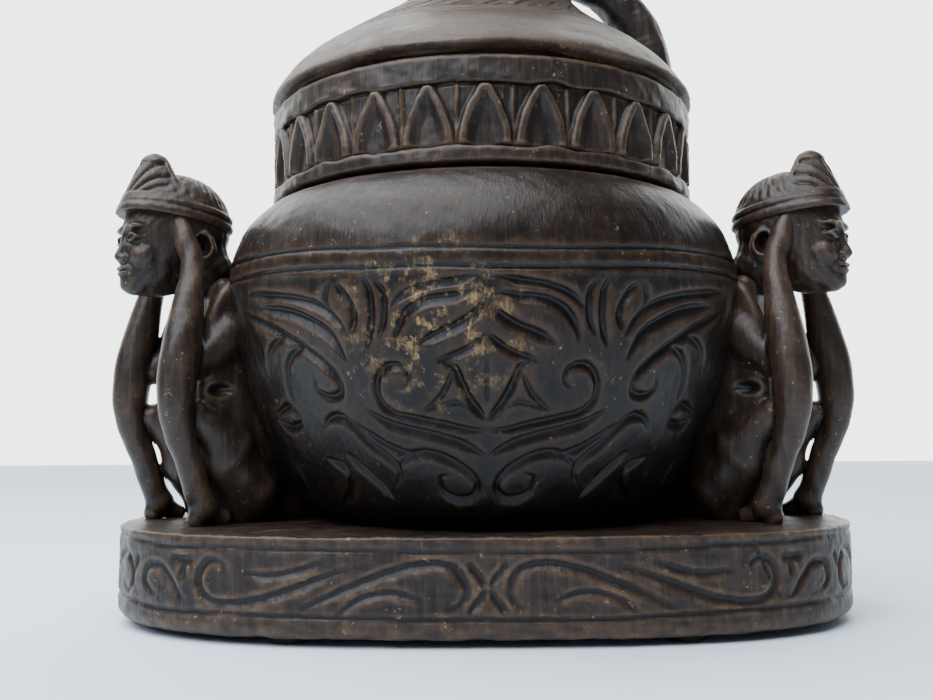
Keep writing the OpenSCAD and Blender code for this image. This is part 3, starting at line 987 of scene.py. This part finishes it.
tree, ids = frieze_tree()
frieze = grow(bay_object(), tree, ids, count=BAYS, rough=1.5 * MM, size=9 * MM, seed=4.0,
              finish=worn_wood)
finish_piece(frieze, "jar", worn_wood, "worn_wood", reach_mm=2)

# %% [markdown]
# ## The lid
#
# A low dome that is round at its rim and closes to an oval at the top, with a
# double line round the oval and slanted leaf cuts above it. Each row of its
# points is an ellipse of its own, so a table of rows gives the whole shape.

# %% Lid: dome
DOME_ROWS = [
    (0.000, 0, 0.92, 0.92), (0.035, 0, 0.985, 0.985), (0.075, 0, 1, 1),
    (0.16, 0, 0.975, 0.955), (0.31, 0, 0.92, 0.82), (0.48, 0, 0.835, 0.635),
    (0.65, 0, 0.715, 0.45), (0.80, 0.5, 0.58, 0.31), (0.91, 2, 0.475, 0.24),
    (1.00, 4, 0.40, 0.205),
]
LEAVES = 26
LEAF_R = 45  # mean radius where the leaves are cut


def make_dome():
    rows = curve([(h * dome_h, x, a * rim_r, b * rim_r) for h, x, a, b in DOME_ROWS], 0.9)
    columns = 620
    angle = np.arange(columns) * 2 * math.pi / columns
    h, shift, a, b = [rows[:, i][:, None] for i in range(4)]
    grid = np.stack([shift + a * np.sin(angle), -b * np.cos(angle), h + lid_z + 0 * angle], -1)
    inner = grid[:1] * [0.9, 0.9, 1]
    grid = np.concatenate([inner, grid])
    h = np.vstack([[0], h]) + 0 * angle
    turned = (angle + math.pi) % (2 * math.pi) - math.pi
    x = turned[None, :] * LEAF_R + 0 * h
    depth = np.zeros(h.shape)
    for line, width in ((0.66 * dome_h, 0.9), (0.715 * dome_h, 0.8)):
        wander = 0.4 * smooth_noise(grid.reshape(-1, 3), 40, 31).reshape(h.shape)
        depth = np.maximum(depth, 0.75 * np.clip(1 - np.abs(h - line - wander) / width, 0, 1))
    pitch = 2 * math.pi * LEAF_R / LEAVES
    cuts = []
    for k in range(LEAVES + 1):
        at = -math.pi * LEAF_R + k * pitch
        upper = [(0, 0.745), (2.5, 0.80), (8, 0.86), (14, 0.89)]
        lower = [(4, 0.74), (7, 0.775), (11, 0.80)]
        cuts.append(([(at + u, v * dome_h) for u, v in upper], 1.5, 0.9))
        cuts.append(([(at + u, v * dome_h) for u, v in lower], 1.2, 0.7))
    depth = np.maximum(depth, gouge(x, h, cuts))
    flat = grid.reshape(-1, 3)
    hand = (0.2 * smooth_noise(flat, 34, 32) + 0.07 * smooth_noise(flat, 7, 33)).reshape(h.shape)
    free = (h > 1.0) & (h < dome_h - 0.5)
    grid = grid + normals(grid) * (-(depth + 0.4 + hand) * free)[..., None]
    # the lower edge was trimmed unevenly, which leaves a dark gap of changing width
    low = np.clip(1 - h / 7, 0, 1)
    lift = 0.9 + 0.8 * smooth_noise(flat * [1, 1, 0], 45, 34).reshape(h.shape)
    grid[..., 2] += low * lift.clip(0.1, 2.0)
    piece = loft("lid_dome_carved", grid, depth)
    return finish_piece(piece, "lid", dusty_wood, "dusty_wood", "lid_dome", reach_mm=2)


dome = make_dome()

# %% [markdown]
# ## The knob
#
# An oval knob is carved from the same piece as the dome, with two lines round
# its foot and grooves that part it into petals. A cosine round the knob makes
# the grooves, which keeps them evenly spaced.

# %% Lid: knob
# share of the height, and size as a share of the CAD knob's
KNOB_ROWS = [(-0.06, 1.0), (0.06, 1.0), (0.2, 1.02), (0.45, 1.13), (0.7, 1.08), (0.88, 0.82),
             (0.97, 0.5), (0.985, 0.2)]
PETALS = 14


def make_knob():
    middle = (knob_low + knob_high) / 2
    widest = max(size for _, size in KNOB_ROWS)
    half = (knob_high - knob_low) / 2 / widest
    height = knob_high[2] - knob_low[2]
    rows = curve([(knob_low[2] + h * height, s) for h, s in KNOB_ROWS], 0.35)
    columns = 220
    angle = np.arange(columns) * 2 * math.pi / columns
    z, size = rows[:, 0][:, None] + 0 * angle, rows[:, 1][:, None]
    grid = np.stack([middle[0] + size * half[0] * np.sin(angle),
                     middle[1] - size * half[1] * np.cos(angle), z], -1)
    share = (z - knob_low[2]) / height
    depth = np.zeros(z.shape)
    for line in (0.12, 0.24):
        depth = np.maximum(depth, 1.0 * np.clip(1 - np.abs(share - line) / 0.03, 0, 1))
    turned = (angle + math.pi) % (2 * math.pi) - math.pi
    petals = 0.5 - 0.5 * np.cos(PETALS * turned)
    belly = np.clip((share - 0.3) / 0.08, 0, 1) * np.clip((0.8 - share) / 0.08, 0, 1)
    depth = np.maximum(depth, 1.1 * (1 - petals) ** 6 * belly)
    hand = (0.3 * smooth_noise(grid.reshape(-1, 3), 14, 41)).reshape(z.shape)
    grid = grid + normals(grid) * (-(depth + 0.35 + hand) * (share < 0.96))[..., None]
    piece = loft("lid_knob_carved", grid, depth)
    return finish_piece(piece, "lid", dusty_wood, "dusty_wood", "lid_knob", reach_mm=1)


knob = make_knob()

# %% [markdown]
# ## The handle
#
# A round, branch-like handle rises from the rim and bends over to the knob.
# It is a bar swept along an arc, thin at its root and thick at the bend, with
# five faint flats left by the knife.

# %% Lid: handle
HANDLE_ARC_R = 62.0
HANDLE_TOP = 78.0  # degrees above the arc's middle, at the knob
FLATS = 5


def make_handle():
    low, high = node_box("lid_handle")
    y = (low[1] + high[1]) / 2
    full = (high[1] - low[1]) / 2
    centre_x = rim_r - 10 - HANDLE_ARC_R
    end_z = knob_low[2] + 0.59 * (knob_high[2] - knob_low[2])
    centre_z = end_z - HANDLE_ARC_R * math.sin(math.radians(HANDLE_TOP))
    start = -math.asin((centre_z - lid_z - 6) / HANDLE_ARC_R) - 0.02
    t = np.linspace(start, math.radians(HANDLE_TOP), 110)
    share = (t - start) / (t[-1] - start)
    # thin at its root behind the dome's shoulder, thick where it bends to the knob
    thick = full * np.interp(share, [0, 0.25, 0.6, 1], [0.72, 0.80, 0.99, 0.97])
    around = np.arange(72) * 2 * math.pi / 72
    facet = 1 - 0.035 * (1 - np.cos(FLATS * around)) / 2
    r = thick[:, None] * facet[None, :]
    outward = np.cos(around) * r
    side = np.sin(around) * r
    reach = HANDLE_ARC_R + outward - 0.4
    grid = np.stack([centre_x + reach * np.cos(t)[:, None], y + side,
                     centre_z + reach * np.sin(t)[:, None]], -1)
    grid = grid[:, ::-1]
    flat = grid.reshape(-1, 3)
    hand = (0.35 * smooth_noise(flat, 16, 51) + 0.12 * smooth_noise(flat, 5, 52)).reshape(r.shape)
    grid = grid + normals(grid) * (-(0.3 + hand))[..., None]
    piece = loft("lid_handle_carved", grid)
    return finish_piece(piece, "lid", worn_wood, "dark_wood", "lid_handle", reach_mm=1)


handle = make_handle()
# the spigot under the dome keeps its CAD shape
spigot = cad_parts["lid_spigot"]
spigot.data.materials.clear()
spigot.data.materials.append(dusty_wood)

# %% [markdown]
# ## The figures
#
# Two crouching figures hold up the jar's sides: head forward, hands over the
# ears, elbows on the knees. Their own frame has x out to where the figure
# looks, and the whole figure is then turned to its place beside the bowl. The
# right figure is the left one mirrored.

# %% Figures: places
FIGURE_OUT = 17.7
FIGURE_FRONT = 23.0
FIGURE_TURN = 218.0
SPREAD = 22.0
TORSO_HALF = 14.0
HEAD_HALF = 16.5
figure_x = bowl_r + FIGURE_OUT


def to_jar(points, side):
    """From a figure's own frame (x out, y to the front, z up from the plinth)."""
    a = math.radians(FIGURE_TURN)
    x, y, z = points.T
    out = np.stack([x * math.cos(a) - y * math.sin(a) - figure_x,
                    x * math.sin(a) + y * math.cos(a) - FIGURE_FRONT, z + deck_z], 1)
    return out * [-side, 1, 1]


def keep_off_bowl(d, x, y, z, sink):
    """Cuts a figure's back to the bowl, which it runs into by sink."""
    a = math.radians(FIGURE_TURN)
    across_x = x * math.cos(a) - y * math.sin(a) - figure_x
    across_y = x * math.sin(a) + y * math.cos(a) - FIGURE_FRONT
    return np.maximum(d, bowl_radius(z) - sink - np.hypot(across_x, across_y))


# %% [markdown]
# ## Bodies and limbs
#
# On each side an arm and a leg are one smooth line from the hand over elbow
# and knee to the foot. Behind it stands a broad flat side with a slit between
# arm and thigh, and between the two sides the trunk. All are lumps of one
# field, with small gaps left open, because that is how the wood was cut: from
# one block, with only the gaps pierced.

# %% Figures: body and limbs
# One limb from hand to foot: out, off the middle line beyond SPREAD, height, radius.
LIMB_LINE = [
    (5.5, -8.6, 121, 3.8), (4, -6.2, 113, 4.8), (2.8, -3.4, 106, 4.5), (3.4, -1, 98, 4.8),
    (5, 0.2, 90, 5.8), (7.4, 1.8, 77, 7.2), (9.5, 2.8, 65, 7.8), (10.8, 3, 53, 7.5),
    (10.4, 3, 43, 6.6), (8.3, 2.5, 34, 5.7), (5, 2, 26, 5.3), (1, 1.4, 14, 5.2), (-2, 1.2, 7, 5.2),
]


def bent_limb(x, y, z, line, parts=3):
    """A limb along a smooth line of (x, y, z, radius)."""
    line = np.array(line, float)
    ends = np.vstack([2 * line[0] - line[1], line, 2 * line[-1] - line[-2]])
    path = []
    for a, b, c, d in zip(ends, ends[1:], ends[2:], ends[3:]):
        for t in np.arange(parts) / parts:
            bend = 2 * a - 5 * b + 4 * c - d + t * (3 * (b - c) + d - a)
            path.append(b + 0.5 * t * (c - a + t * bend))
    path.append(line[-1])
    out = limb(x, y, z, path[0], path[1])
    for a, b in zip(path[1:], path[2:]):
        out = np.minimum(out, limb(x, y, z, a, b))
    return out


def body_field(x, y, z):
    s = np.abs(y)

    def part(a, b):
        return limb(x, s, z, (a[0], SPREAD + a[1], a[2], a[3]), (b[0], SPREAD + b[1], b[2], b[3]))

    front = bent_limb(x, s, z, [(a, SPREAD + b, c, d) for a, b, c, d in LIMB_LINE])
    foot = join(part((-2, 1.2, 7, 5.0), (0.6, 1.2, 2.2, 4.0)), part((-3, 1.2, 5, 4.4), (-10, 1.2, 2.0, 3.4)), 2)
    front = join(front, foot, 2)
    # behind the limb, a broad flat side: upper arm above, thigh below
    plate = block(x, s, z, (-36, SPREAD - 6, -3), (1.5, SPREAD + 2.5, 99), 7)
    front_edge = x - 1.5 + 0.5 * np.maximum(z - 76, 0) + 0.45 * np.maximum(39 - z, 0)
    plate = meet(plate, front_edge * 0.85, 4)
    plate = take(plate, ball(x, s, z, (-6.5, SPREAD + 2, 8), (5.5, 16, 11)), 2)
    arm = part((2, 0, 63, 5.8), (-13, -3.5, 75, 10.5))
    thigh = join(part((2, 0, 43, 5.6), (-13, -4, 31, 12)), part((-14, -5, 24, 13), (-24, -6, 13, 14)), 4)
    side = join(join(plate, arm, 2.5), thigh, 2.5)
    # the deep almond slit between them
    side = take(side, ball(x, s, z, (-7.5, SPREAD + 7, 53), (8.5, 7, 3.4)), 1.0)
    trunk = block(x, y, z, (-66, -TORSO_HALF - 1.5, -4), (-13.5, TORSO_HALF + 1.5, 60), 5)
    trunk = join(trunk, block(x, y, z, (-66, -TORSO_HALF - 1, 50), (-9, TORSO_HALF + 1, 101), 5), 6)
    flank = block(x, y, z, (-66, -SPREAD + 0.5, -3), (-12, SPREAD - 0.5, 98), 7)
    # the far side of the back turns in to the bowl
    back = join(join(side, flank, 5), trunk, 3)
    back = meet(back, -(x + 14) * 0.465 - (y + 27) * 0.885, 6)
    whole = join(front, back, 1.2)
    whole = whole + 0.16 * np.sin(x * 0.5 + z * 0.23) * np.sin(y * 0.45 - z * 0.17)
    whole = np.maximum(whole, -(z + 0.6))
    return keep_off_bowl(whole, x, y, z, 3.0)


# %% [markdown]
# ## Heads
#
# A calm, plain face: eyes halfway down the head, the nose's foot midway from
# there to the chin, and the mouth a third of the way below it. Skull, jaw and
# cheeks are eggs that flow together, the eyes are lids round a ball, and the
# ear is a shallow ring on the side.

# %% Figures: head
def head_field(x, y, z):
    s = np.abs(y)
    d = ball(x, y, z, (-1.5, 0, 121), (22, HEAD_HALF - 0.3, 18))
    d = join(d, ball(x, y, z, (7.5, 0, 110), (13.8, 12.3, 15.5)), 5)
    d = join(d, ball(x, y, z, (9, 0, 100), (12, 10, 8)), 4)
    d = join(d, ball(x, y, z, (-11, 0, 104), (15, 14, 11)), 5)
    d = join(d, ball(x, y, z, (16.4, 0, 96.2), (5.2, 5.6, 4.0)), 3)
    d = join(d, ball(x, s, z, (15.5, 7.6, 107.0), (4.6, 3.8, 3.6)), 3)  # cheek
    d = take(d, ball(x, s, z, (22.6, 6.0, 114.6), (4.0, 4.4, 3.1)), 1.6)  # eye socket
    d = join(d, ball(x, s, z, (18.2, 5.8, 118.9), (3.6, 5.6, 1.5)), 1.6)  # brow
    d = join(d, ball(x, s, z, (17.4, 6.0, 114.4), (2.9, 3.7, 2.3)), 0.5)  # eyeball
    lid = np.abs((z - 114.4) - 1.75 * np.clip(1 - ((s - 6.0) / 4.2) ** 2, 0, 1)) - 0.45
    lower = np.abs((z - 114.4) + 1.45 * np.clip(1 - ((s - 6.0) / 4.2) ** 2, 0, 1)) - 0.40
    shell = np.abs(ball(x, s, z, (17.4, 6.0, 114.4), (3.6, 4.5, 2.9))) - 0.5
    d = join(d, np.maximum(np.minimum(lid, lower), np.maximum(shell, np.abs(s - 6.0) - 4.2)), 0.5)
    nose = limb(x, y, z, (18.9, 0, 117.5, 1.5), (22.6, 0, 107.2, 2.0))
    nose = join(nose, ball(x, s, z, (21.2, 2.1, 106.4), (2.2, 1.6, 1.5)), 0.9)
    d = join(d, nose, 1.3)
    d = join(d, ball(x, y, z, (19.0, 0, 101.6), (3.6, 4.6, 2.6)), 2)
    d = join(d, ball(x, s, z, (21.2, 1.2, 102.5), (1.8, 3.2, 0.95)), 0.6)  # lips
    d = join(d, ball(x, s, z, (21.0, 0.8, 100.4), (1.8, 3.0, 1.1)), 0.6)
    d = take(d, ball(x, s, z, (23.0, 0, 101.5), (2.6, 4.4, 0.38)), 0.35)
    ear = ball(x, s, z, (-6.6, HEAD_HALF - 1.0, 111.5), (5.2, 2.6, 7.2))
    d = join(d, ear, 1.2)
    hole = ball(x, s, z, (-5.6, HEAD_HALF + 1.0, 112.3), (3.3, 6.5, 4.6))
    d = take(d, hole, 0.8)
    d = d + 0.12 * np.sin(1.1 * x + 0.4 * z) * np.sin(0.8 * z - 0.9 * y)
    return keep_off_bowl(np.maximum(d, np.maximum(-(z - 92.2), z - 131)), x, y, z, 2.5)


# %% [markdown]
# ## Caps
#
# The cap fits the skull, with a double band round it and fine lines over the
# crown. In front stands a crest, a pointed shield with rays that spread from
# its foot to a thick rim.

# %% Figures: cap
BAND_Z, BAND_TILT = 123.0, math.radians(7)


def cap_field(line_depth):
    def field(x, y, z):
        s = np.abs(y)
        level = (z - BAND_Z) * math.cos(BAND_TILT) - x * math.sin(BAND_TILT)
        dome = ball(x, y, z, (-1.2, 0, 124), (22.6, HEAD_HALF + 0.8, 20))
        dome = join(dome, ball(x, y, z, (15.0, 0, 126.0), (6.4, HEAD_HALF - 4, 5)), 3)
        # fine lines over the crown
        fan = np.arctan2(s, x + 8.0)
        dome = dome + line_depth * (0.5 - 0.5 * np.cos(fan * 26)) * np.clip((level - 8) / 2, 0, 1)
        # the double band
        low_band = np.exp(-(((level - 1.9) / 1.5) ** 4))
        high_band = 0.8 * np.exp(-(((level - 5.6) / 1.3) ** 4))
        dome = dome - 0.9 * np.maximum(low_band, high_band)
        # the crest, a shield bent round the front of the cap, that leans back to a rounded tip
        up = np.clip((z - 126) / 26, 0, 1)
        long, wide = 18.4 * (1 - up) ** 0.85 + 3.0, 14.6 * (1 - up) ** 0.85 + 3.0
        cone = (np.hypot((x - 2.6 - 6.4 * up) / long, y / wide) - 1) * np.minimum(long, wide) * 0.85
        edge = x - 0.5 - 0.22 * (z - 130)
        crest = meet(meet(cone, z - 152, 4), -edge * 0.97, 1.2)
        # rays from the foot of the shield to its thick rim
        spread = np.arctan2(z - 124.0, s + 1.0)
        inside = np.clip((edge - 2.4) / 0.8, 0, 1) * np.clip((level - 7.6) / 1.2, 0, 1)
        inside = inside * np.clip((148 - z) / 1.5, 0, 1)
        ridges = 1.2 * (1 - np.abs(np.sin(spread * 12.5))) ** 1.6 + 0.25
        crest = crest + ridges * inside
        whole = join(crest, dome, 0.8)
        whole = whole + 0.07 * np.sin(0.9 * x + 0.5 * z) * np.sin(0.7 * z - 0.8 * y)
        return np.maximum(whole, -level)

    return field


# %% Figures: meshes
HEAD_OUT = 2.8
BODY_STEP, HEAD_STEP = 0.85, 0.5  # size of the small cubes
MOST_FIGURE = 150000  # triangles in one piece
CROWN_LINES = {"left": 0.25, "right": 0.5}  # depth of the lines over the crown


def figure_mesh(name, solid, side, material, slot, nodes, reach_mm):
    points, quads = solid
    piece = add_mesh(name, to_jar(points, side), (quads[:, ::-1] if side > 0 else quads).tolist())
    thin_out(piece, MOST_FIGURE)
    return finish_piece(piece, "jar", material, slot, *nodes, reach_mm=reach_mm)


def set_out(solid):
    """The head and cap, moved forward on the neck."""
    points, quads = solid
    return points + [HEAD_OUT, 0, 0], quads


body = level_mesh(body_field, (-64, -36, -2), (22, 36, 124), BODY_STEP)
head = set_out(level_mesh(head_field, (-30, -21, 90), (28, 21, 133), HEAD_STEP))
for side, word in ((-1, "left"), (1, "right")):
    cap = set_out(level_mesh(cap_field(CROWN_LINES[word]), (-27, -21, 117), (30, 21, 155), HEAD_STEP))
    figure_mesh(f"{word}_figure_body", body, side, figure_wood, "dark_wood",
                [f"{word}_torso", f"{word}_limb_front", f"{word}_limb_back"], 2)
    figure_mesh(f"{word}_figure_head", head, side, worn_wood, "worn_wood", [f"{word}_head"], 3)
    figure_mesh(f"{word}_figure_cap", cap, side, worn_wood, "worn_wood", [f"{word}_cap"], 3)

# %% [markdown]
# ## Floor and backdrop
#
# Dark wood shows its shape by what it mirrors, so the jar stands on a pale
# floor with a bright backdrop two metres behind it. The backdrop glows by
# itself, which keeps it evenly bright without a lamp of its own.

# %% Floor and backdrop
def plain_paper(name, code):
    """Matt paper of one colour."""
    material = bpy.data.materials.new(name)
    tree = clear_tree(material)
    shader = add_node(tree, "ShaderNodeBsdfPrincipled", **{"Base Color": linear(code), "Roughness": 0.9})
    add_node(tree, "ShaderNodeOutputMaterial", Surface=shader.outputs[0])
    return material


def stage_plane(name, corners_m, material):
    mesh = bpy.data.meshes.new(name)
    mesh.from_pydata(corners_m, [], [(0, 1, 2, 3)])
    mesh.materials.append(material)
    obj = bpy.data.objects.new(name, mesh)
    bpy.context.scene.collection.objects.link(obj)
    return obj


def glowing_paper(name, code, strength):
    """Paper that is lit evenly from behind."""
    material = bpy.data.materials.new(name)
    tree = clear_tree(material)
    glow = add_node(tree, "ShaderNodeEmission", Color=linear(code), Strength=strength)
    add_node(tree, "ShaderNodeOutputMaterial", Surface=glow.outputs[0])
    return material


FLOOR_HALF, BACK_Y, BACK_TOP = 4.0, 2.0, 3.5  # in metres
floor = stage_plane("floor", [(-FLOOR_HALF, -FLOOR_HALF, 0), (FLOOR_HALF, -FLOOR_HALF, 0),
                              (FLOOR_HALF, BACK_Y, 0), (-FLOOR_HALF, BACK_Y, 0)],
                    plain_paper("pale_floor", "#d3dfea"))
backdrop = stage_plane("backdrop", [(-FLOOR_HALF, BACK_Y, 0), (FLOOR_HALF, BACK_Y, 0),
                                    (FLOOR_HALF, BACK_Y, BACK_TOP), (-FLOOR_HALF, BACK_Y, BACK_TOP)],
                       glowing_paper("lit_backdrop", "#f2f7f5", 4.2))
print("stage:", floor.name, backdrop.name)

# %% [markdown]
# ## Light
#
# A large soft panel hangs above, a little to the left and in front, and gives
# the broad sheen on the shoulders. A weaker one from the front left opens the
# shadows, and a dim, pale blue world fills what is left.

# %% Lamps
AIM_AT = (0, 0, 0.13)  # the middle of the jar, in metres
WORLD_STRENGTH = 0.26


def soft_panel(name, at, size, power, colour):
    data = bpy.data.lights.new(name, "AREA")
    data.shape = "RECTANGLE"
    data.size, data.size_y = size
    data.energy = power
    data.color = linear(colour)[:3]
    lamp = bpy.data.objects.new(name, data)
    way = Vector(AIM_AT) - Vector(at)
    lamp.matrix_world = Matrix.Translation(at) @ way.to_track_quat("-Z", "Y").to_matrix().to_4x4()
    bpy.context.scene.collection.objects.link(lamp)
    return lamp


# place and size in metres, power in watts
soft_panel("overhead", (-0.35, -0.35, 1.15), (1.7, 1.1), 47, "#f8faff")
soft_panel("front_left", (-0.8, -0.9, 0.8), (0.5, 0.5), 9, "#e6efff")
world = bpy.data.worlds.new("pale_room")
world.use_nodes = True
background = world.node_tree.nodes["Background"]
background.inputs["Color"].default_value = linear("#d6e4f6")
background.inputs["Strength"].default_value = WORLD_STRENGTH
bpy.context.scene.world = world
